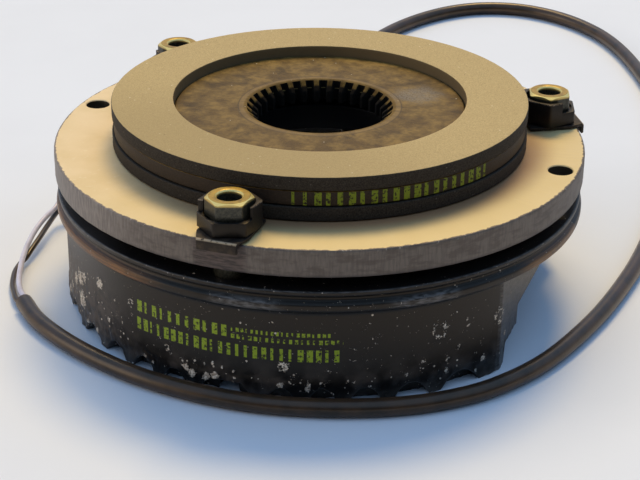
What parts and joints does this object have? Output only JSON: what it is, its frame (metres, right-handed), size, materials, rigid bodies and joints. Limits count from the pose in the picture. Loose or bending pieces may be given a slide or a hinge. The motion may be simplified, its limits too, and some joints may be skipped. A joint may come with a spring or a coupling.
{
  "type": "spring-applied electromagnetic brake",
  "caption": "Spring-applied electromagnetic brake: pot magnet, armature plate on hollow screws and a splined rotor with friction linings that holds a shaft until current releases it.",
  "frame": {"origin": "on the shaft axis, in the plane that the notched back edge of the magnet housing stands on", "axes": "+Z along the shaft from the magnet to the rotor; +X out of the housing's flat side, through one hand-release hole of the armature plate"},
  "size_m": [0.1762, 0.337, 0.0566],
  "materials": {
    "black_paint": "satin black, worn, with pale corrosion spots",
    "bobbin_plastic": "moulded",
    "copper": "enamelled wire",
    "potting_resin": "poured resin",
    "spring_steel": "oiled",
    "plain_steel": "turned",
    "chromated_steel": "yellow chromated",
    "blackened_steel": "blackened",
    "nitrided_steel": "pale, ground, with a darker worn edge",
    "carrier_metal": "brown brake dust over turned metal",
    "friction_lining": "ground, speckled",
    "black_rubber": "moulded",
    "white_pvc": "smooth",
    "black_pvc": "smooth",
    "tinned_copper": "crimped"
  },
  "bodies": {
    "stator": {"magnet_housing": "black_paint", "coil_bobbin": "bobbin_plastic", "coil_winding": "copper", "potting_ring": "potting_resin", "pressure_spring_1": "spring_steel", "pressure_spring_2": "spring_steel", "pressure_spring_3": "spring_steel", "pressure_spring_4": "spring_steel", "pressure_spring_5": "spring_steel", "pressure_spring_6": "spring_steel", "hollow_sleeve_a": "chromated_steel", "hollow_sleeve_b": "chromated_steel", "hollow_sleeve_c": "chromated_steel", "hexagon_nut_a": "blackened_steel", "hexagon_nut_b": "blackened_steel", "hexagon_nut_c": "blackened_steel", "lock_plate_a": "blackened_steel", "lock_plate_b": "blackened_steel", "lock_plate_c": "blackened_steel", "cable_gland": "black_rubber", "lead_white": "white_pvc", "lead_black": "black_pvc", "cable_sheath": "black_pvc", "end_core_white": "white_pvc", "end_core_black": "black_pvc", "end_core_white_ferrule": "tinned_copper", "end_core_black_ferrule": "tinned_copper"},
    "thrust": {"thrust_ring": "plain_steel"},
    "adjuster": {"torque_adjuster_ring": "plain_steel"},
    "armature": {"armature_plate": "nitrided_steel"},
    "rotor": {"rotor_carrier": "carrier_metal", "friction_lining_lower": "friction_lining", "friction_lining_upper": "friction_lining"}
  },
  "joints": [
    {"name": "armature_slide", "type": "slide", "parent": "stator", "child": "armature", "axis": [0, 0, 1], "range_m": [-0.0036, 0], "stiffness_N_per_m": 20000, "springref_m": 0.008, "deforming": ["pressure_spring_1", "pressure_spring_2", "pressure_spring_3", "pressure_spring_4", "pressure_spring_5", "pressure_spring_6"]},
    {"name": "rotor_spin", "type": "hinge", "parent": "armature", "child": "rotor", "pos_m": [0, 0, 0.0506], "axis": [0, 0, 1], "continuous": true},
    {"name": "thrust_slide", "type": "slide", "parent": "stator", "child": "thrust", "axis": [0, 0, 1], "range_m": [-0.00091, 0]},
    {"name": "adjuster_turn", "type": "hinge", "parent": "thrust", "child": "adjuster", "pos_m": [0, 0, 0.006], "axis": [0, 0, 1], "range_deg": [-216, 0]}
  ],
  "couplings": [
    {"joint": "thrust_slide", "follows": "adjuster_turn", "m_per_rad": 0.00023873}
  ]
}
